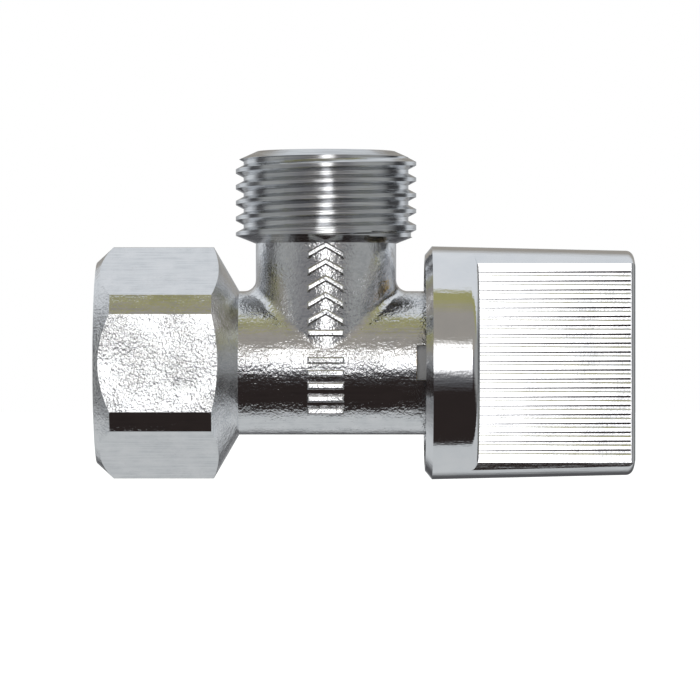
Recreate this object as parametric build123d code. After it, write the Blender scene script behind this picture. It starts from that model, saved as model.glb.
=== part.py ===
from build123d import *
from build123d.topology import SkipClean
import math
import os

# Angle stop valve, G 1/2 x G 1/2, with a quarter-turn ceramic headwork.  Millimetres.
# Origin: centre of the inlet mouth.  +X runs along the inlet and spindle axis to the handle,
# +Z along the outlet axis.  Angles about X are counted from +Y towards +Z.

# --- pipe threads, G 1/2, 14 per inch, 55 degree form, right hand -------------------------
PITCH = 1.814
FLANK_DEG = 27.5
SECTORS = 6
MALE_CREST_R = 10.375
MALE_DEPTH = 0.9
MALE_LENGTH = 9.7
MALE_RUNOUT = 0.3
RUNOUT_STEPS = 2
COLLAR_LAND = 0.14
FEMALE_CREST_R = 9.3155
FEMALE_DEPTH = 1.162
FEMALE_LENGTH = 11.0
FEMALE_RELIEF = 1.2
RELIEF_OVER = 0.1
FEMALE_LEAD = 0.45
FEMALE_LEAD_DROP = 0.8
CUT_OVER = 0.4
SLEEVE_WALL = 0.5

# --- body ---------------------------------------------------------------------------------
HEX_WALL = 1.62
HEX_CORNER = 1.2
HEX_LENGTH = 13.4
HEX_LEAD_LENGTH = 1.9
HEX_LEAD_DROP = 1.75
SHOULDER_DEG = 60.0
NECK_GAP = 1.9
NECK_WALL = 2.07
NECK_FILLET = 1.3
OUTLET_TOP = 24.3
OUTLET_FACE_R = 7.95
OUTLET_LEAD = 1.1
COLLAR_CONE = 0.9
OUTLET_BORE_R = 6.0
CARTRIDGE_BORE_R = 6.5
BODY_THREAD_STEP = 0.5
BODY_THREAD_LENGTH = 4.4
BARREL_WALL = 1.25
PORT_R = 4.5
NOTCH_LENGTH = 3.0
NOTCH_WIDTH = 4.0
MARK_HEIGHT = 0.3
MARK_ROUND = 0.2
MARK_WIDTH = 4.2
MARK_STROKE = 0.8
MARK_RISE = 1.2
MARK_PITCH = 1.9
BAR_START = -5.5
BAR_PITCH = 1.45
BAR_COUNT = 5
MARK_GAP = 0.28

# --- headwork -----------------------------------------------------------------------------
HOUSING_SLACK = 0.1
HOUSING_WALL = 1.1
DISC_SETBACK = 1.9
ROTATING_DISC_T = 2.38
FIXED_DISC_T = 2.1
LAPPED_GAP = 0.02
DISC_SLACK = 0.1
DISC_KEY_WIDTH = 2.0
DISC_KEY_SINK = 0.3
DISC_PORT_DEG = 76.0
DISC_PORT_R_IN = 2.0
DISC_PORT_RIM = 1.0
SEAL_T = 1.9
SEAL_PROUD = 0.5
SEAL_WIDTH = 1.4
SEAL_EDGE = 0.25
SUPPORT_WALL = 0.4
WINDOW_LENGTH = 2.8
WINDOW_WIDTH = 6.6
WINDOW_LAND = 0.2
SPINDLE_R = 3.5
SPINDLE_SLACK = 0.05
SPINDLE_FLANGE_T = 1.8
FRICTION_WASHER_T = 0.6
RUNNING_GAP = 0.04
TONGUE_THICK = 3.0
TONGUE_DEPTH = 1.0
TONGUE_RIM = 1.6
ORING_SETBACK = 0.6
ORING_GROOVE = 1.8
ORING_DEPTH = 1.0
ORING_SIDE_GAP = 0.15
ORING_CORNER = 0.4
THREAD_SETBACK = 0.5
SPINDLE_RING_W = 1.5
SPINDLE_RING_DEPTH = 1.05
SPINDLE_RING_LAND = 1.0
SPINDLE_RING_STEP = 3.5
SPINDLE_RING_SLACK = 0.03
STOP_RING_T = 1.0
STOP_RING_SLACK = 0.1
STOP_EAR_REACH = 2.65
STOP_EAR_DEG = 12.0
STOP_TAB_SINK = 0.3
STOP_TAB_GAP = 0.06
FLANGE_T = 1.6
FLANGE_LIP = 1.5
FLANGE_CORNER = 0.85
RECESS_SLACK = 0.4
THRUST_WASHER_T = 0.4
CLIP_T = 0.7
CLIP_DEPTH = 0.7
CLIP_REACH = 1.1
CLIP_SINK = 0.36
CLIP_OPEN_DEG = 70.0
SPLINE_TEETH = 20
SPLINE_DEPTH = 0.4
SPLINE_TIP = 0.14
SPLINE_FOOT = 0.32
SPLINE_SLACK = 0.02

# --- handle -------------------------------------------------------------------------------
TRAVEL_DEG = 90.0
STOP_GAP_DEG = 1.5
LUG_DEG = 20.0
LUG_CLEAR = 0.35
LUG_OVER = 0.6
SKIRT_CLEAR = 0.92
SKIRT_WALL = 1.6
SKIRT_LAP = 1.94
SKIRT_BEVEL = 0.8
SKIRT_BEVEL_DROP = 1.0
SKIRT_ROUND = 0.9
FLANGE_GAP = 0.4
HUB_WALL = 1.1
BLADE_LENGTH = 17.9
BLADE_WALL = 1.2
BLADE_TAPER = 0.4
CONE_DROP = 0.54
END_ROUND = 0.85
FLAT_END_ROUND = 0.5
EDGE_BEVEL = 0.5
EDGE_BEVEL_DEG = 42.0
RIB_COUNT = 21
RIB_PITCH = 1.015
RIB_DEPTH_NEAR = 0.06
RIB_DEPTH_FAR = 0.17
RIB_ROOT = 0.24
RIB_WALL_DEG = 38.0
RIB_STOP = 0.55
INSERT_WALL = 0.9
INSERT_FLOOR = 1.6
WEB_T = 2.0
SCREW_R = 2.0
SCREW_LENGTH = 12.0
SCREW_SLACK = 0.2
SCREW_POINT = 0.4
TAP_SPARE = 0.8
SCREW_HEAD_R = 3.5
SCREW_HEAD_T = 2.2
SCREW_CROWN = 0.9
CROSS_WIDTH = 0.8
CROSS_REACH = 1.9
CROSS_DEPTH = 1.3
WASHER_T = 0.9
WASHER_SPLIT = 0.8
WASHER_SLACK = 0.1
CAP_GAP = 0.5
CAP_T = 1.8
CAP_FACE = 1.0
CAP_WALL = 0.6
CAP_CLEAR = 0.6
CAP_EDGE = 0.3
DOT_R = 2.2
DOT_T = 0.35

# --- derived stations -----------------------------------------------------------------------
female_major_r = FEMALE_CREST_R + FEMALE_DEPTH
sleeve_r = female_major_r + SLEEVE_WALL
inlet_floor = FEMALE_LENGTH + FEMALE_RELIEF
hex_half = female_major_r + HEX_WALL
hex_turned_r = hex_half + HEX_CORNER
body_thread_r = CARTRIDGE_BORE_R + BODY_THREAD_STEP
barrel_r = body_thread_r + BARREL_WALL
shoulder_end = HEX_LENGTH + (hex_turned_r - barrel_r) / math.tan(math.radians(SHOULDER_DEG))
neck_r = OUTLET_BORE_R + NECK_WALL
outlet_x = shoulder_end + NECK_GAP + neck_r
groove_start = outlet_x + OUTLET_BORE_R + ORING_SETBACK
body_thread_start = groove_start + ORING_GROOVE + THREAD_SETBACK
barrel_end = body_thread_start + BODY_THREAD_LENGTH
collar_z = OUTLET_TOP - MALE_LENGTH
mark_neck_y = math.sqrt((neck_r + MARK_HEIGHT) ** 2 - (MARK_WIDTH / 2) ** 2)
crease_z = math.sqrt(max(0.0, (barrel_r + MARK_HEIGHT) ** 2 - mark_neck_y ** 2))
mark_high_start = crease_z + MARK_GAP + 1.5 * MARK_STROKE
mark_high_count = int((collar_z - mark_high_start - MARK_RISE - MARK_STROKE) / MARK_PITCH) + 1

housing_r = CARTRIDGE_BORE_R - HOUSING_SLACK
housing_bore_r = housing_r - HOUSING_WALL
disc_r = housing_bore_r - DISC_SLACK
disc_top = outlet_x - DISC_SETBACK
rotating_face = disc_top - ROTATING_DISC_T
fixed_top = rotating_face - LAPPED_GAP
fixed_face = fixed_top - FIXED_DISC_T
seat_x = fixed_face - SEAL_T
housing_start = seat_x + SEAL_PROUD
seal_bore_r = housing_bore_r - SEAL_WIDTH
window_start = disc_top + WINDOW_LAND
window_end = window_start + WINDOW_LENGTH
spindle_flange = window_end + WINDOW_LAND
spindle_shoulder = spindle_flange + SPINDLE_FLANGE_T
washer_start = spindle_shoulder + RUNNING_GAP
housing_shoulder = washer_start + FRICTION_WASHER_T
spindle_bore_r = SPINDLE_R + SPINDLE_SLACK
groove_r = CARTRIDGE_BORE_R - ORING_DEPTH
stop_ring_end = barrel_end + STOP_RING_T
flange_end = stop_ring_end + FLANGE_T
flange_half = body_thread_r + FLANGE_LIP
flange_turned_r = flange_half + FLANGE_CORNER
clip_r = SPINDLE_R + CLIP_REACH
recess_r = clip_r + RECESS_SLACK
recess_floor = flange_end - (THRUST_WASHER_T + CLIP_T + RUNNING_GAP + CLIP_SINK)
clip_start = recess_floor + THRUST_WASHER_T + RUNNING_GAP
ear_r = barrel_r + STOP_EAR_REACH

cavity_r = ear_r + SKIRT_CLEAR
skirt_r = cavity_r + SKIRT_WALL
skirt_start = barrel_end - SKIRT_LAP
cavity_end = flange_end + FLANGE_GAP
step_x = cavity_end + HUB_WALL
handle_end = step_x + BLADE_LENGTH
hub_r = SPINDLE_R + INSERT_WALL
blade_half_end = hub_r + BLADE_WALL
blade_half_step = blade_half_end + BLADE_TAPER
blade_tilt = math.degrees(math.atan2(BLADE_TAPER, BLADE_LENGTH))
cap_start = handle_end - CAP_T
head_start = cap_start - CAP_GAP - SCREW_HEAD_T
web_end = head_start - WASHER_T
web_start = web_end - WEB_T
spindle_end = web_start - INSERT_FLOOR
cap_r = SCREW_HEAD_R + CAP_CLEAR
tongue_half = disc_r - TONGUE_RIM


def turned(outline):
    """Solid of revolution about X from an outline of (x, r) points."""
    return revolve(make_face(Polyline(*outline, close=True)), Axis.X)


def ring(x0, x1, r_in, r_out):
    return turned([(x0, r_in), (x1, r_in), (x1, r_out), (x0, r_out)])


def ring_sector(x0, x1, r_in, r_out, mid_deg, width_deg):
    face = make_face(Polyline((x0, r_in), (x1, r_in), (x1, r_out), (x0, r_out), close=True))
    return Rot(X=mid_deg - width_deg / 2) * revolve(face, Axis.X, width_deg)


def block(x0, x1, y0, y1, z0, z1):
    size = (x1 - x0, y1 - y0, z1 - z0)
    return Pos((x0 + x1) / 2, (y0 + y1) / 2, (z0 + z1) / 2) * Box(*size)


def hex_bar(x0, x1, half_flats):
    """Hexagonal bar along X with two of its flats facing +Y and -Y."""
    section = RegularPolygon(half_flats, 6, major_radius=False, rotation=30)
    return extrude(Plane.YZ.offset(x0) * section, x1 - x0)


def rubber_ring(groove_x0, groove_x1, r_in, r_out):
    """Seated O-ring: its round section is flattened by the groove and the wall it seals on."""
    width = groove_x1 - groove_x0 - ORING_SIDE_GAP
    section = RectangleRounded(width, r_out - r_in, ORING_CORNER)
    return revolve(Pos((groove_x0 + groove_x1) / 2, (r_in + r_out) / 2) * section, Axis.X)


# --- threads ------------------------------------------------------------------------------
def thread_corners(root_r, mouth_r, side):
    """Section of a thread groove as (r, half width); side is +1 for male and -1 for female."""
    crest_r = MALE_CREST_R if side > 0 else FEMALE_CREST_R
    middle_r = (crest_r + root_r) / 2
    slope = math.tan(math.radians(FLANK_DEG))
    return [(r, PITCH / 4 + side * (r - middle_r) * slope) for r in (root_r, mouth_r)]


def groove_piece(root_r, mouth_r, side, shift=0.0):
    """One sector of a helical groove about Z; it starts at angle 0 and height 0."""
    (r0, w0), (r1, w1) = thread_corners(root_r, mouth_r, side)
    corners = [(r0 + shift, -w0), (r1 + shift, -w1), (r1 + shift, w1), (r0 + shift, w0)]
    rise = PITCH / SECTORS
    lines = [Edge.make_helix(PITCH, rise, r, (0, 0, z)) for r, z in corners]
    sides = [Face.make_surface_from_curves(lines[i], lines[(i + 1) % 4]) for i in range(4)]
    start = make_face(Polyline(*[(r, 0, z) for r, z in corners], close=True))
    end = Pos(0, 0, rise) * Rot(Z=360 / SECTORS) * start
    return Solid(Shell(sides + [*start.faces(), *end.faces()]))


def threaded_sectors(outline, grooves):
    """Sectors about Z of a turned outline of (r, z), each cut by its own groove pieces.

    grooves lists (step, height, piece): the piece that starts at that sector boundary."""
    face = make_face(Polyline(*[(r, 0, z) for r, z in outline], close=True))
    wedge = revolve(face, Axis.Z, 360 / SECTORS)
    wedges = [Rot(Z=360 / SECTORS * k) * wedge for k in range(SECTORS)]
    for step, height, piece in grooves:
        k = step % SECTORS
        wedges[k] = wedges[k] - Pos(0, 0, height) * Rot(Z=360 / SECTORS * k) * piece
    return wedges


def groove_run(first_step, first_height, top, piece):
    """Groove pieces from a sector boundary upwards until they are clear of the top."""
    count = math.ceil((top + PITCH - first_height) / (PITCH / SECTORS))
    return [(first_step + i, first_height + i * PITCH / SECTORS, piece) for i in range(count)]


def outlet_thread():
    full_root = MALE_CREST_R - MALE_DEPTH
    mouth = MALE_CREST_R + CUT_OVER
    full = groove_piece(full_root, mouth, 1)
    start_z = collar_z + COLLAR_LAND
    run = groove_run(0, start_z, OUTLET_TOP, full)
    for back in range(1, RUNOUT_STEPS + 1):
        piece = groove_piece(full_root, mouth, 1, back * MALE_RUNOUT)
        run.append((-back, start_z - back * PITCH / SECTORS, piece))
    outline = [
        (OUTLET_BORE_R, collar_z - COLLAR_CONE),
        (neck_r, collar_z - COLLAR_CONE),
        (MALE_CREST_R, collar_z),
        (MALE_CREST_R, OUTLET_TOP - OUTLET_LEAD),
        (OUTLET_FACE_R, OUTLET_TOP),
        (OUTLET_BORE_R, OUTLET_TOP),
    ]
    return [Pos(X=outlet_x) * wedge for wedge in threaded_sectors(outline, run)]


def inlet_thread():
    piece = groove_piece(female_major_r, FEMALE_CREST_R - CUT_OVER, -1)
    steps = math.ceil((FEMALE_LENGTH + FEMALE_RELIEF / 2 + PITCH) / (PITCH / SECTORS))
    run = [(i, i * PITCH / SECTORS - PITCH, piece) for i in range(steps)]
    outline = [
        (FEMALE_CREST_R, FEMALE_LEAD),
        (FEMALE_CREST_R + FEMALE_LEAD_DROP, 0.0),
        (sleeve_r, 0.0),
        (sleeve_r, FEMALE_LENGTH),
        (FEMALE_CREST_R, FEMALE_LENGTH),
    ]
    return [Rot(Y=90) * wedge for wedge in threaded_sectors(outline, run)]


# --- body ---------------------------------------------------------------------------------
def body_outside():
    lead_r = hex_turned_r - HEX_LEAD_DROP
    envelope = turned([
        (0, 0),
        (0, lead_r),
        (HEX_LEAD_LENGTH, hex_turned_r),
        (HEX_LENGTH, hex_turned_r),
        (shoulder_end, barrel_r),
        (shoulder_end, 0),
    ])
    inlet_end = hex_bar(0, shoulder_end, hex_half) & envelope
    barrel = ring(HEX_LENGTH, barrel_end, 0, barrel_r)
    neck = Pos(X=outlet_x) * extrude(Circle(neck_r), collar_z - COLLAR_CONE)
    cross = barrel + neck
    seams = cross.edges().filter_by(lambda e: e.geom_type not in (GeomType.CIRCLE, GeomType.LINE))
    return fillet(seams, NECK_FILLET) + inlet_end


def body_bores():
    return [
        ring(0, FEMALE_LENGTH, 0, sleeve_r),
        ring(FEMALE_LENGTH, inlet_floor, 0, female_major_r + RELIEF_OVER),
        ring(inlet_floor, seat_x, 0, PORT_R),
        ring(seat_x, body_thread_start, 0, CARTRIDGE_BORE_R),
        ring(body_thread_start, barrel_end, 0, body_thread_r),
        Pos(X=outlet_x) * extrude(Circle(OUTLET_BORE_R), collar_z),
        block(barrel_end - NOTCH_LENGTH, barrel_end, -2 * barrel_r, 0, -NOTCH_WIDTH / 2, NOTCH_WIDTH / 2),
    ]


def chevron(z):
    """One chevron of the flow mark, its point towards the outlet."""
    half = MARK_WIDTH / 2
    peak = MARK_RISE + MARK_STROKE
    points = [(-half, 0), (0, MARK_RISE), (half, 0), (half, MARK_STROKE), (0, peak), (-half, MARK_STROKE)]
    return Pos(outlet_x, z) * make_face(Polyline(*points, close=True))


def bar(z):
    return Pos(outlet_x, z) * Rectangle(MARK_WIDTH, MARK_STROKE)


def barrel_marks():
    """Outlines of the bars on the barrel, each with the reach of its flat top from the axis."""
    marks = []
    for i in range(BAR_COUNT):
        z = BAR_START + BAR_PITCH * i
        nearest = max(0.0, abs(z) - MARK_STROKE / 2)
        marks.append((bar(z), math.sqrt(barrel_r ** 2 - nearest ** 2) + MARK_HEIGHT))
    return marks


def neck_marks():
    """Outlines of the chevrons on the neck and of the bar below them, with the reach of their tops."""
    outlines = [chevron(mark_high_start + MARK_PITCH * i) for i in range(mark_high_count)]
    outlines.append(bar(mark_high_start - MARK_STROKE))
    return [(outline, neck_r + MARK_HEIGHT) for outline in outlines]


def flow_marks():
    """Raised casting marks on the front: flat tops that face forward, with rounded edges."""
    front = Plane(origin=(0, -barrel_r / 2, 0), x_dir=(1, 0, 0), z_dir=(0, -1, 0))
    marks = []
    for outline, reach in barrel_marks() + neck_marks():
        mark = extrude(front * outline, reach - barrel_r / 2)
        top = mark.faces().sort_by(Axis.Y)[0]
        marks.append(fillet(top.edges(), MARK_ROUND))
    return marks


def valve_body():
    body = body_outside()
    for mark in flow_marks():
        body += mark
    for bore in body_bores():
        body -= bore
    with SkipClean():
        for wedge in inlet_thread() + outlet_thread():
            body = body + wedge
    return body


# --- headwork -----------------------------------------------------------------------------
def headwork_housing():
    shell = turned([
        (housing_start, 0),
        (housing_start, housing_r),
        (groove_start, housing_r),
        (groove_start, groove_r),
        (groove_start + ORING_GROOVE, groove_r),
        (groove_start + ORING_GROOVE, housing_r),
        (body_thread_start, housing_r),
        (body_thread_start, body_thread_r),
        (stop_ring_end, body_thread_r),
        (stop_ring_end, 0),
    ])
    flange = hex_bar(stop_ring_end, flange_end, flange_half)
    shell += flange & ring(stop_ring_end, flange_end, 0, flange_turned_r)
    shell -= ring(housing_start, housing_shoulder, 0, housing_bore_r)
    shell -= ring(housing_shoulder, recess_floor, 0, spindle_bore_r)
    shell -= ring(recess_floor, flange_end, 0, recess_r)
    half = WINDOW_WIDTH / 2
    shell -= block(window_start, window_end, -half, half, -2 * housing_r, 2 * housing_r)
    return shell - key_block(housing_start, fixed_top, DISC_KEY_WIDTH / 2 + DISC_SLACK, 2 * housing_r)


def key_block(x0, x1, half_width, reach):
    return block(x0, x1, -reach, reach, -half_width, half_width)


def disc_ports(x0, x1):
    rim = disc_r - DISC_PORT_RIM
    return [ring_sector(x0, x1, DISC_PORT_R_IN, rim, mid, DISC_PORT_DEG) for mid in (90, 270)]


def fixed_disc():
    disc = ring(fixed_face, fixed_top, 0, disc_r)
    disc += key_block(fixed_face, fixed_top, DISC_KEY_WIDTH / 2, housing_r - DISC_KEY_SINK)
    for port in disc_ports(fixed_face, fixed_top):
        disc -= port
    return disc


def rotating_disc():
    disc = ring(rotating_face, disc_top, 0, disc_r)
    for port in disc_ports(rotating_face, disc_top):
        disc -= port
    half = TONGUE_THICK / 2 + SPINDLE_SLACK
    reach = tongue_half + DISC_SLACK
    return disc - block(disc_top - TONGUE_DEPTH, disc_top, -reach, reach, -half, half)


def seat_seal():
    return turned([
        (seat_x, seal_bore_r + SEAL_EDGE),
        (housing_start, seal_bore_r),
        (fixed_face, seal_bore_r),
        (fixed_face, housing_bore_r),
        (housing_start, housing_bore_r),
        (seat_x, housing_bore_r - SEAL_EDGE),
    ])


def spindle_ring_starts():
    first = housing_shoulder + SPINDLE_RING_LAND
    return [first, first + SPINDLE_RING_STEP]


def spline_section(r_tip, grow):
    """Closed outline of the splined end in the YZ plane, grown outwards by a small slack."""
    points = []
    tooth = 2 * math.pi / SPLINE_TEETH
    root = SPLINE_DEPTH
    tooth_shape = [(-SPLINE_FOOT, root), (-SPLINE_TIP, 0), (SPLINE_TIP, 0), (SPLINE_FOOT, root)]
    for i in range(SPLINE_TEETH):
        for offset, drop in tooth_shape:
            a = (i + offset) * tooth
            r = r_tip - drop + grow
            points.append((r * math.cos(a), r * math.sin(a)))
    return make_face(Polyline(*points, close=True))


def spindle():
    tongue = key_block(disc_top - TONGUE_DEPTH, spindle_flange, TONGUE_THICK / 2, tongue_half)
    flange = ring(spindle_flange, spindle_shoulder, 0, disc_r)
    shaft = ring(spindle_shoulder, cavity_end, 0, SPINDLE_R)
    for x in spindle_ring_starts():
        shaft -= ring(x, x + SPINDLE_RING_W, SPINDLE_R - SPINDLE_RING_DEPTH, 2 * SPINDLE_R)
    shaft -= ring(clip_start, clip_start + CLIP_T, SPINDLE_R - CLIP_DEPTH, 2 * SPINDLE_R)
    splined = extrude(Plane.YZ.offset(cavity_end) * spline_section(SPINDLE_R, 0), spindle_end - cavity_end)
    whole = tongue + flange + shaft + splined
    tap_floor = head_start - SCREW_LENGTH - TAP_SPARE
    return whole - ring(tap_floor, spindle_end, 0, SCREW_R)


def travel_stop_ring():
    inner = body_thread_r + STOP_RING_SLACK
    plate = ring(barrel_end, stop_ring_end, inner, barrel_r)
    plate += ring_sector(barrel_end, stop_ring_end, inner, ear_r, 180, 2 * STOP_EAR_DEG)
    sleeve = ring(barrel_end - NOTCH_LENGTH + STOP_TAB_GAP, stop_ring_end, inner, barrel_r - STOP_TAB_SINK)
    half = NOTCH_WIDTH / 2 - STOP_TAB_GAP
    return plate + (sleeve & block(0, stop_ring_end, -barrel_r, 0, -half, half))


def spindle_clip():
    clip = ring(clip_start, clip_start + CLIP_T, SPINDLE_R - CLIP_DEPTH, clip_r)
    return clip - ring_sector(clip_start, clip_start + CLIP_T, 0, 2 * clip_r, 0, CLIP_OPEN_DEG)


# --- handle -------------------------------------------------------------------------------
def skirt_cone_r(x):
    return skirt_r - CONE_DROP * (x - skirt_start) / (handle_end - skirt_start)


def rounded_outline(points, x, radius):
    """Face through the points, with its corners at the given x rounded, apart from those on the axis."""
    face = make_face(Polyline(*points, close=True))
    corners = [v for v in face.vertices() if abs(v.X - x) < 1e-6 and abs(v.Y) > radius]
    return fillet(corners, radius)


def handle_skirt():
    outline = [
        (skirt_start, 0),
        (skirt_start, skirt_r - SKIRT_BEVEL_DROP),
        (skirt_start + SKIRT_BEVEL, skirt_cone_r(skirt_start + SKIRT_BEVEL)),
        (step_x, skirt_cone_r(step_x)),
        (step_x, 0),
    ]
    return revolve(rounded_outline(outline, step_x, SKIRT_ROUND), Axis.X)


def handle_blade():
    """Flat lever: the skirt's cone carried on to the end between two slightly tapered flats."""
    cone = revolve(rounded_outline([
        (cavity_end, 0),
        (cavity_end, skirt_cone_r(cavity_end)),
        (handle_end, skirt_cone_r(handle_end)),
        (handle_end, 0),
    ], handle_end, END_ROUND), Axis.X)
    half_back = blade_half_step + BLADE_TAPER * (step_x - cavity_end) / BLADE_LENGTH
    slab = extrude(rounded_outline([
        (cavity_end, -half_back),
        (handle_end, -blade_half_end),
        (handle_end, blade_half_end),
        (cavity_end, half_back),
    ], handle_end, FLAT_END_ROUND), skirt_r, both=True)
    blade = cone & slab
    for cutter in edge_bevels():
        blade -= cutter
    return blade


def edge_bevels():
    """Cutters for the bevels along the four long edges of the lever, laid parallel to the taper."""
    rim_z = math.sqrt(skirt_cone_r(step_x) ** 2 - blade_half_step ** 2)
    cutter = Pos(Y=blade_half_step / 2) * Box(4 * BLADE_LENGTH, blade_half_step, blade_half_step)
    place = Pos(step_x, blade_half_step, rim_z - EDGE_BEVEL) * Rot(Z=-blade_tilt) * Rot(X=EDGE_BEVEL_DEG)
    corner = place * cutter
    pair = [corner, mirror(corner, Plane.XZ)]
    return pair + [mirror(side, Plane.XY) for side in pair]


def rib_grooves():
    """Grip grooves along both flats of the lever, getting deeper towards its end."""
    dip = math.degrees(math.atan2(RIB_DEPTH_FAR - RIB_DEPTH_NEAR, BLADE_LENGTH))
    root = RIB_ROOT / 2
    mouth = root + 2 * RIB_DEPTH_FAR / math.tan(math.radians(RIB_WALL_DEG))
    top = 2 * RIB_DEPTH_FAR - RIB_DEPTH_NEAR
    section = make_face(Polyline(
        (top, -mouth),
        (top, mouth),
        (-RIB_DEPTH_NEAR, root),
        (-RIB_DEPTH_NEAR, -root),
        close=True,
    ))
    cutter = Rot(Z=-blade_tilt - dip) * extrude(Plane.YZ * section, BLADE_LENGTH - RIB_STOP)
    first = -RIB_PITCH * (RIB_COUNT - 1) / 2
    cuts = []
    for i in range(RIB_COUNT):
        front = Pos(step_x, blade_half_step, first + RIB_PITCH * i) * cutter
        cuts += [front, mirror(front, Plane.XZ)]
    return cuts


def stop_lugs():
    """Two lugs inside the skirt that meet the ear of the stop ring at the ends of the quarter turn."""
    inner = flange_turned_r + LUG_CLEAR
    outer = cavity_r + SKIRT_WALL / 2
    end = cavity_end + HUB_WALL / 2
    free = STOP_EAR_DEG + STOP_GAP_DEG + LUG_DEG / 2
    middles = (180 - free, 180 + TRAVEL_DEG + free)
    return [ring_sector(barrel_end - LUG_OVER, end, inner, outer, middle, LUG_DEG) for middle in middles]


def handle():
    body = handle_skirt() + handle_blade()
    body -= ring(skirt_start, cavity_end, 0, cavity_r)
    for lug in stop_lugs():
        body += lug
    body -= ring(cavity_end, web_start, 0, hub_r)
    body -= ring(web_start, web_end, 0, SCREW_R + SCREW_SLACK)
    body -= ring(web_end, handle_end, 0, cap_r)
    for cut in rib_grooves():
        body -= cut
    return body


def handle_spline_insert():
    start = cavity_end + SPINDLE_SLACK
    cup = ring(start, web_start, 0, hub_r)
    cup -= extrude(Plane.YZ.offset(start) * spline_section(SPINDLE_R, SPLINE_SLACK), spindle_end - start)
    return cup - ring(spindle_end, web_start, 0, SCREW_R + SCREW_SLACK)


def handle_screw():
    tip = head_start - SCREW_LENGTH
    head_end = head_start + SCREW_HEAD_T
    screw = turned([
        (tip, 0),
        (tip, SCREW_R - SCREW_POINT),
        (tip + SCREW_POINT, SCREW_R),
        (head_start, SCREW_R),
        (head_start, SCREW_HEAD_R),
        (head_end - SCREW_CROWN, SCREW_HEAD_R),
        (head_end, SCREW_HEAD_R - SCREW_CROWN),
        (head_end, 0),
    ])
    half = CROSS_WIDTH / 2
    slot = block(head_end - CROSS_DEPTH, head_end, -CROSS_REACH, CROSS_REACH, -half, half)
    return screw - slot - Rot(X=90) * slot


def screw_spring_washer():
    washer = ring(web_end, head_start, SCREW_R + WASHER_SLACK, SCREW_HEAD_R - WASHER_SLACK)
    half = WASHER_SPLIT / 2
    return washer - block(web_end, head_start, 0, SCREW_HEAD_R, -half, half)


def index_cap():
    cap = turned([
        (cap_start, 0),
        (cap_start, cap_r),
        (handle_end - CAP_EDGE, cap_r),
        (handle_end, cap_r - CAP_EDGE),
        (handle_end, 0),
    ])
    cap -= ring(cap_start, handle_end - CAP_FACE, 0, cap_r - CAP_WALL)
    return cap - ring(handle_end - DOT_T, handle_end, 0, DOT_R)


def build_nodes():
    groove_end = groove_start + ORING_GROOVE
    ring_in = SPINDLE_R - SPINDLE_RING_DEPTH
    ring_out = spindle_bore_r - SPINDLE_RING_SLACK
    inner_x, outer_x = spindle_ring_starts()
    return {
        "valve_body": valve_body(),
        "headwork_housing": headwork_housing(),
        "housing_o_ring": rubber_ring(groove_start, groove_end, groove_r, CARTRIDGE_BORE_R),
        "travel_stop_ring": travel_stop_ring(),
        "fixed_disc": fixed_disc(),
        "seat_seal": seat_seal(),
        "seal_support_ring": ring(housing_start, fixed_face, seal_bore_r - SUPPORT_WALL, seal_bore_r),
        "friction_washer": ring(washer_start, housing_shoulder, spindle_bore_r, disc_r),
        "spindle_thrust_washer": ring(recess_floor, recess_floor + THRUST_WASHER_T, spindle_bore_r, clip_r),
        "spindle": spindle(),
        "spindle_o_ring_inner": rubber_ring(inner_x, inner_x + SPINDLE_RING_W, ring_in, ring_out),
        "spindle_o_ring_outer": rubber_ring(outer_x, outer_x + SPINDLE_RING_W, ring_in, ring_out),
        "spindle_clip": spindle_clip(),
        "rotating_disc": rotating_disc(),
        "handle": handle(),
        "handle_spline_insert": handle_spline_insert(),
        "handle_screw": handle_screw(),
        "screw_spring_washer": screw_spring_washer(),
        "index_cap": index_cap(),
        "index_dot": ring(handle_end - DOT_T, handle_end, 0, DOT_R),
    }


os.makedirs("parts", exist_ok=True)
for name, solid in build_nodes().items():
    export_step(solid, f"parts/{name}.step")
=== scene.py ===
import math
import bpy
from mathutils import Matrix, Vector


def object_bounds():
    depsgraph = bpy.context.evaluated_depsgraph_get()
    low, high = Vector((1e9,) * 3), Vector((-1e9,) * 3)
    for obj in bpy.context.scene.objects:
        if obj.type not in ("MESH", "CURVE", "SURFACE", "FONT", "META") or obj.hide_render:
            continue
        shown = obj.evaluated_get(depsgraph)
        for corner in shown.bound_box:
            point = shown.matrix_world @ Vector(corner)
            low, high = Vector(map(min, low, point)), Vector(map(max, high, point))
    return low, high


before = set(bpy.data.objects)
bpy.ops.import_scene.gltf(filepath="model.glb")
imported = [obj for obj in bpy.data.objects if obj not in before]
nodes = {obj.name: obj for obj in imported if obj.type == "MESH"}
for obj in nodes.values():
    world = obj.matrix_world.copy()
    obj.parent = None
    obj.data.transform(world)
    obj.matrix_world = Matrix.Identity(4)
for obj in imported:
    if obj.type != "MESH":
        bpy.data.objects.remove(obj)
cad_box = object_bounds()

# Lengths are in metres. The camera looks squarely at the upright plane through the spindle axis.
FIELD = 0.0805              # width of the view in that plane
DISTANCE = 0.575            # from the camera to that plane
AIM = (0.02904, 0.00148)    # X and Z of the middle of the view
SENSOR = 36.0               # in millimetres, as Blender takes it
CLIP_START = 0.01

OUTLET_X = 0.02628          # axis of the outlet, which the lamps are aimed at
THREAD_Z = 0.0140           # on the collar of the outlet, where cast skin gives way to turned metal
THREAD_BLEND = 0.0003       # from this far below that height to this far above it
FLOOR_SIZE = 6.0
FLOOR_DROP = 0.03           # from the lowest point of the object down to the floor


# --- node helpers -------------------------------------------------------------------------
# A mix node has sockets for every kind of data; these are the numbers of the ones for colours.
MIX_FIRST = 6
MIX_SECOND = 7
MIX_RESULT = 2


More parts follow.
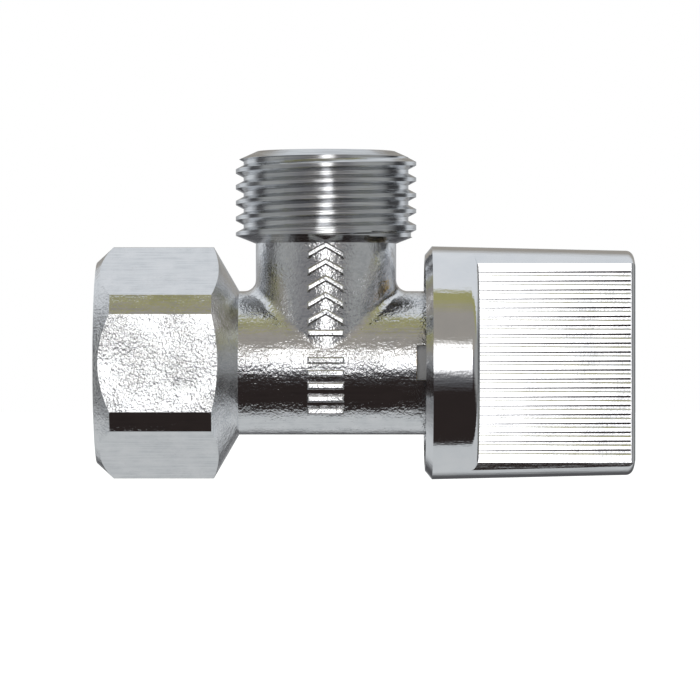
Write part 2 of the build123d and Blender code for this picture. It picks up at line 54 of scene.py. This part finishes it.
class NodeTree:
    """Short names for building a tree of shader nodes."""

    def __init__(self, tree):
        self.tree = tree

    def add(self, kind, **settings):
        node = self.tree.nodes.new(kind)
        for key, value in settings.items():
            setattr(node, key, value)
        return node

    def link(self, source, target):
        self.tree.links.new(source, target)

    def math(self, operation, *values):
        node = self.add("ShaderNodeMath", operation=operation)
        for socket, value in zip(node.inputs, values):
            if isinstance(value, (int, float)):
                socket.default_value = value
            else:
                self.link(value, socket)
        return node.outputs[0]

    def mix(self, factor, first, second):
        node = self.add("ShaderNodeMix", data_type="RGBA")
        self.link(factor, node.inputs["Factor"])
        for number, color in ((MIX_FIRST, first), (MIX_SECOND, second)):
            if isinstance(color, tuple):
                node.inputs[number].default_value = (*color, 1.0)
            else:
                self.link(color, node.inputs[number])
        return node.outputs[MIX_RESULT]


class Graph(NodeTree):
    """Node tree of one material, laid out in the object's own coordinates."""

    def __init__(self, name, metallic=0.0):
        self.material = bpy.data.materials.new(name)
        self.material.use_nodes = True
        super().__init__(self.material.node_tree)
        self.shader = self.tree.nodes["Principled BSDF"]
        self.place = self.add("ShaderNodeTexCoord").outputs["Object"]
        self.set(Metallic=metallic)

    def set(self, **values):
        for key, value in values.items():
            self.shader.inputs[key.replace("_", " ")].default_value = value

    def stretch(self, *scale):
        """Coordinates in which noise is drawn out along each axis whose scale is small."""
        node = self.add("ShaderNodeMapping")
        node.inputs["Scale"].default_value = scale
        self.link(self.place, node.inputs["Vector"])
        return node.outputs[0]

    def noise(self, size, detail, rough, vector=None):
        """Noise whose features are about the given size."""
        node = self.add("ShaderNodeTexNoise")
        node.inputs["Scale"].default_value = 1.0 / size
        node.inputs["Detail"].default_value = detail
        node.inputs["Roughness"].default_value = rough
        self.link(vector or self.place, node.inputs["Vector"])
        return node.outputs["Fac"]

    def ramp(self, value, low, high, out_low=0.0, out_high=1.0):
        """The value, with low to high stretched to out_low to out_high and held beyond them."""
        node = self.add("ShaderNodeMapRange")
        self.link(value, node.inputs["Value"])
        limits = {"From Min": low, "From Max": high, "To Min": out_low, "To Max": out_high}
        for name, number in limits.items():
            node.inputs[name].default_value = number
        return node.outputs["Result"]

    def height(self):
        node = self.add("ShaderNodeSeparateXYZ")
        self.link(self.place, node.inputs["Vector"])
        return node.outputs["Z"]

    def bump(self, relief, depth, under=None):
        """Normal of a relief of the given depth, on top of another normal if there is one."""
        node = self.add("ShaderNodeBump")
        node.inputs["Distance"].default_value = depth
        node.inputs["Strength"].default_value = 1.0
        self.link(relief, node.inputs["Height"])
        if under is not None:
            self.link(under, node.inputs["Normal"])
        return node.outputs["Normal"]

    def finish(self, color, roughness, normal=None):
        self.link(color, self.shader.inputs["Base Color"])
        self.link(roughness, self.shader.inputs["Roughness"])
        if normal is not None:
            self.link(normal, self.shader.inputs["Normal"])
        return self.material


# --- materials ----------------------------------------------------------------------------
def cast_chrome():
    """Bright chrome over tumbled cast brass: orange peel that sparkles, and a lathe-turned outlet thread."""
    g = Graph("cast_chrome", metallic=1.0)
    wave = g.noise(size=0.0035, detail=1.0, rough=0.4)
    peel = g.noise(size=0.0009, detail=2.0, rough=0.5)
    patch = g.ramp(g.noise(size=0.0045, detail=1.0, rough=0.5), 0.35, 0.65, 0.6, 1.2)
    grain = g.math("MULTIPLY", g.noise(size=0.00032, detail=2.0, rough=0.6), patch)
    streak = g.noise(size=0.0003, detail=2.0, rough=0.5, vector=g.stretch(0.05, 1.0, 1.0))
    turning = g.noise(size=0.00016, detail=2.0, rough=0.6, vector=g.stretch(0.03, 0.03, 1.0))
    threaded = g.ramp(g.height(), THREAD_Z - THREAD_BLEND, THREAD_Z + THREAD_BLEND)
    cast = g.math("SUBTRACT", 1.0, threaded)
    normal = g.bump(wave, depth=0.00014)
    normal = g.bump(g.math("MULTIPLY", peel, cast), depth=0.00004, under=normal)
    normal = g.bump(g.math("MULTIPLY", grain, cast), depth=0.00006, under=normal)
    normal = g.bump(g.math("MULTIPLY", streak, cast), depth=0.000016, under=normal)
    normal = g.bump(g.math("MULTIPLY", turning, threaded), depth=0.00003, under=normal)
    cloud = g.ramp(g.noise(size=0.002, detail=4.0, rough=0.6), 0.35, 0.7)
    brushed = g.mix(g.ramp(streak, 0.35, 0.65), (0.70, 0.71, 0.73), (0.82, 0.83, 0.84))
    tone = g.mix(cloud, brushed, (0.86, 0.86, 0.87))
    worn = g.mix(g.ramp(turning, 0.35, 0.65), (0.60, 0.61, 0.63), (0.80, 0.81, 0.82))
    satin = g.ramp(turning, 0.3, 0.7, 0.10, 0.24)
    bright = g.ramp(grain, 0.2, 0.8, 0.05, 0.16)
    rough = g.math("ADD", g.math("MULTIPLY", satin, threaded), g.math("MULTIPLY", bright, cast))
    return g.finish(g.mix(threaded, tone, worn), rough, normal)


def polished_chrome():
    """Smooth chrome over polished zinc, with faint waves along the lever and hairline wear."""
    g = Graph("polished_chrome", metallic=1.0)
    wave = g.noise(size=0.004, detail=1.0, rough=0.4)
    drawn = g.noise(size=0.0005, detail=2.0, rough=0.5, vector=g.stretch(0.12, 1.0, 1.0))
    fine = g.noise(size=0.0003, detail=2.0, rough=0.5)
    normal = g.bump(wave, depth=0.00004)
    normal = g.bump(drawn, depth=0.000014, under=normal)
    normal = g.bump(fine, depth=0.000006, under=normal)
    cloud = g.ramp(g.noise(size=0.003, detail=3.0, rough=0.5), 0.35, 0.7)
    tone = g.mix(cloud, (0.82, 0.83, 0.85), (0.88, 0.88, 0.89))
    return g.finish(tone, g.ramp(fine, 0.3, 0.7, 0.05, 0.12), normal)


def turned_brass(name, color):
    """Brass from the lathe: fine rings round the axis and slight tarnish."""
    g = Graph(name, metallic=1.0)
    rings = g.noise(size=0.0002, detail=2.0, rough=0.5, vector=g.stretch(1.0, 0.04, 0.04))
    tarnish = g.ramp(g.noise(size=0.0025, detail=4.0, rough=0.6), 0.4, 0.7)
    dark = tuple(c * 0.7 for c in color)
    rough = g.ramp(rings, 0.3, 0.7, 0.16, 0.34)
    return g.finish(g.mix(tarnish, color, dark), rough, g.bump(rings, depth=0.00001))


def moulded(name, color, roughness):
    """Moulded plastic, rubber or ceramic with a fine surface grain and small tone changes."""
    g = Graph(name)
    grain = g.noise(size=0.00025, detail=3.0, rough=0.55)
    cloud = g.ramp(g.noise(size=0.002, detail=3.0, rough=0.5), 0.35, 0.7)
    shade = tuple(c * 0.82 for c in color)
    rough = g.ramp(grain, 0.3, 0.7, roughness * 0.8, min(1.0, roughness * 1.2))
    return g.finish(g.mix(cloud, color, shade), rough, g.bump(grain, depth=0.00002))


def steel():
    """Stainless steel with fine brush lines that run round the spindle axis."""
    g = Graph("stainless", metallic=1.0)
    brush = g.noise(size=0.00015, detail=2.0, rough=0.5, vector=g.stretch(1.0, 0.15, 0.15))
    tone = g.mix(g.ramp(brush, 0.3, 0.7), (0.52, 0.52, 0.53), (0.66, 0.66, 0.66))
    return g.finish(tone, g.ramp(brush, 0.3, 0.7, 0.18, 0.36), g.bump(brush, depth=0.000006))


def dress(material, *names):
    for name in names:
        for slot in nodes[name].material_slots:
            slot.material = material


dress(cast_chrome(), "valve_body")
dress(polished_chrome(), "handle", "index_cap")
dress(turned_brass("headwork_brass", (0.72, 0.52, 0.24)), "headwork_housing")
dress(turned_brass("spindle_brass", (0.70, 0.50, 0.22)), "spindle")
dress(
    moulded("black_rubber", (0.025, 0.025, 0.026), 0.55),
    "housing_o_ring", "spindle_o_ring_inner", "spindle_o_ring_outer")
dress(moulded("grey_nylon", (0.23, 0.23, 0.235), 0.5), "travel_stop_ring")
dress(
    moulded("white_acetal", (0.78, 0.77, 0.73), 0.35),
    "friction_washer", "spindle_thrust_washer", "handle_spline_insert")
dress(moulded("ceramic", (0.85, 0.83, 0.78), 0.12), "fixed_disc", "rotating_disc")
dress(moulded("silicone", (0.70, 0.70, 0.68), 0.45), "seat_seal")
dress(steel(), "seal_support_ring", "spindle_clip", "handle_screw", "screw_spring_washer")
dress(moulded("blue_index", (0.01, 0.06, 0.38), 0.12), "index_dot")


# --- camera and floor ---------------------------------------------------------------------
def make_camera():
    data = bpy.data.cameras.new("camera")
    data.sensor_width = SENSOR
    data.lens = SENSOR * DISTANCE / FIELD
    data.clip_start = CLIP_START
    camera = bpy.data.objects.new("camera", data)
    bpy.context.collection.objects.link(camera)
    camera.location = (AIM[0], -DISTANCE, AIM[1])
    camera.rotation_euler = (math.pi / 2, 0, 0)
    bpy.context.scene.camera = camera


def make_floor():
    """Glowing floor that reads as plain white paper; the metal doesn't mirror it."""
    floor_z = cad_box[0][2] - FLOOR_DROP
    bpy.ops.mesh.primitive_plane_add(size=FLOOR_SIZE, location=(0, 0, floor_z))
    floor = bpy.context.object
    floor.name = "floor"
    g = Graph("pale_floor")
    g.set(Specular_IOR_Level=0.0, Emission_Color=(1.0, 1.0, 1.0, 1.0), Emission_Strength=0.8)
    speck = g.noise(size=0.02, detail=3.0, rough=0.5)
    tone = g.mix(speck, (0.60, 0.60, 0.60), (0.63, 0.63, 0.63))
    floor.data.materials.append(g.finish(tone, g.ramp(speck, 0.3, 0.7, 0.8, 0.95)))
    floor.visible_glossy = False


# --- the studio that the metal mirrors ----------------------------------------------------
PAPER = (0.72, 0.75, 0.78)
BENCH_PAPER = (0.56, 0.58, 0.59)
OLIVE = (0.34, 0.33, 0.15)
ROOM = (0.34, 0.32, 0.29)
DARK = (0.026, 0.020, 0.019)
STAND = (0.50, 0.50, 0.51)
SIDE = (0.22, 0.22, 0.23)
NEAR = (0.34, 0.35, 0.35)
DIM = (0.09, 0.09, 0.095)
DUSK = (0.055, 0.055, 0.058)
REAR = (0.42, 0.43, 0.44)

# Directions are unit vectors, and tilt is the height of one over its distance from the view line.
SIDE_BLEND = 0.1            # the left side gives way to the right one between minus and plus this
TILT_START = 0.15           # the sides give way to the room or the bench from this tilt
TILT_END = 0.65             # to this one
REAR_START = 0.76           # the front gives way to the rear over these shares of a half turn
REAR_END = 0.86
LEAST_ACROSS = 0.001        # keeps the tilt finite along the view line

FLASH_WIDTH = 0.14
FLASH_HEIGHT = 0.26
FLASH_LIFT = 0.08
FLASH_POWER = 2.4
FLASH_RIM = 1.35            # the glow rises inwards from here, in shares of that width and height
FLASH_CORE = 0.5            # to its full strength here
FLASH_SIDE_START = 0.2      # it is seen only in directions that point this much towards the camera
FLASH_SIDE_END = 0.5        # and is at its full strength from this much


class Sky(NodeTree):
    """Node tree of the world; its colours depend on direction only."""

    def __init__(self):
        world = bpy.data.worlds.new("studio")
        bpy.context.scene.world = world
        world.use_nodes = True
        super().__init__(world.node_tree)
        self.tree.nodes.clear()
        split = self.add("ShaderNodeSeparateXYZ")
        self.link(self.add("ShaderNodeTexCoord").outputs["Generated"], split.inputs[0])
        self.x, self.y, self.z = split.outputs
        self.forward = self.math("MULTIPLY", self.y, -1.0)

    def length(self, a, b):
        squares = self.math("ADD", self.math("MULTIPLY", a, a), self.math("MULTIPLY", b, b))
        return self.math("SQRT", squares)

    def fade(self, value, start, end):
        """Smooth step from 0 at start to 1 at end, where start may be the larger of the two."""
        node = self.add("ShaderNodeMapRange", interpolation_type="SMOOTHSTEP")
        self.link(value, node.inputs["Value"])
        node.inputs["From Min"].default_value = start
        node.inputs["From Max"].default_value = end
        return node.outputs["Result"]

    def bands(self, value, *stops):
        """Colour ramp over a value between 0 and 1."""
        node = self.add("ShaderNodeValToRGB")
        self.link(value, node.inputs[0])
        elements = node.color_ramp.elements
        for element, (place, color) in zip(elements, (stops[0], stops[-1])):
            element.position, element.color = place, (*color, 1.0)
        for place, color in stops[1:-1]:
            elements.new(place).color = (*color, 1.0)
        return node.outputs[0]

    def turn_bands(self, value, *stops):
        """Colour ramp over a share of a half turn, with its stops in degrees."""
        return self.bands(value, *((angle / 180, color) for angle, color in stops))

    def background(self):
        return self.add("ShaderNodeBackground")


def front_colors(sky, away):
    """Sides, room above and bench below the camera, by the angle away from the camera."""
    across = sky.length(sky.x, sky.z)
    tilt = sky.math("DIVIDE", sky.z, sky.math("MAXIMUM", across, LEAST_ACROSS))
    above = sky.turn_bands(
        away, (0, ROOM), (50, ROOM), (66, OLIVE), (74, OLIVE), (79, PAPER), (180, PAPER))
    below = sky.turn_bands(
        away, (0, STAND), (8, SIDE), (20, DIM), (28, DARK), (86, DARK),
        (91, BENCH_PAPER), (180, BENCH_PAPER))
    left = sky.turn_bands(
        away, (0, SIDE), (35, SIDE), (65, NEAR), (86, NEAR), (98, DIM), (112, DIM),
        (128, PAPER), (180, PAPER))
    right = sky.turn_bands(
        away, (0, SIDE), (25, SIDE), (45, NEAR), (80, NEAR), (102, DUSK), (118, DUSK),
        (130, PAPER), (180, PAPER))
    side = sky.mix(sky.fade(sky.x, -SIDE_BLEND, SIDE_BLEND), left, right)
    front = sky.mix(sky.fade(tilt, TILT_START, TILT_END), side, above)
    return sky.mix(sky.fade(tilt, -TILT_START, -TILT_END), front, below)


def rear_colors(sky):
    """Bands behind the object, by height."""
    lift = sky.math("ADD", sky.math("MULTIPLY", sky.z, 0.5), 0.5)
    return sky.bands(
        lift, (0.0, PAPER), (0.12, PAPER), (0.20, DIM), (0.40, DIM), (0.46, REAR),
        (0.54, REAR), (0.60, ROOM), (0.80, ROOM), (0.86, PAPER), (1.0, PAPER))


def flash_glow(sky):
    """Brightness of the upright oval flash just above the camera."""
    flat = sky.math("DIVIDE", sky.x, FLASH_WIDTH)
    tall = sky.math("DIVIDE", sky.math("SUBTRACT", sky.z, FLASH_LIFT), FLASH_HEIGHT)
    oval = sky.fade(sky.length(flat, tall), FLASH_RIM, FLASH_CORE)
    facing = sky.fade(sky.forward, FLASH_SIDE_START, FLASH_SIDE_END)
    return sky.math("MULTIPLY", sky.math("MULTIPLY", oval, facing), FLASH_POWER)


def make_world():
    """Studio with a flash for every ray but the camera's own, which sees plain white."""
    sky = Sky()
    away = sky.math("DIVIDE", sky.math("ARCCOSINE", sky.forward), math.pi)
    room = sky.mix(sky.fade(away, REAR_START, REAR_END), front_colors(sky, away), rear_colors(sky))
    studio = sky.background()
    sky.link(room, studio.inputs["Color"])
    flash = sky.background()
    sky.link(flash_glow(sky), flash.inputs["Strength"])
    both = sky.add("ShaderNodeAddShader")
    sky.link(studio.outputs[0], both.inputs[0])
    sky.link(flash.outputs[0], both.inputs[1])
    white = sky.background()
    white.inputs["Color"].default_value = (1, 1, 1, 1)
    choose = sky.add("ShaderNodeMixShader")
    sky.link(sky.add("ShaderNodeLightPath").outputs["Is Camera Ray"], choose.inputs[0])
    sky.link(both.outputs[0], choose.inputs[1])
    sky.link(white.outputs[0], choose.inputs[2])
    sky.link(choose.outputs[0], sky.add("ShaderNodeOutputWorld").inputs["Surface"])


def soft_light(name, place, size, power):
    """Softbox aimed at the object; the metal doesn't mirror it."""
    data = bpy.data.lights.new(name, "AREA")
    data.shape = "DISK"
    data.size = size
    data.energy = power
    light = bpy.data.objects.new(name, data)
    bpy.context.collection.objects.link(light)
    light.location = place
    from_target = Vector(place) - Vector((OUTLET_X, 0, 0))
    light.rotation_euler = from_target.to_track_quat("Z", "Y").to_euler()
    light.visible_glossy = False


bpy.context.scene.view_settings.view_transform = "Standard"
make_camera()
make_floor()
make_world()
soft_light("top_light", place=(0.1, -0.25, 0.6), size=0.5, power=3.0)
soft_light("fill_light", place=(-0.4, -0.5, 0.2), size=0.4, power=1.0)
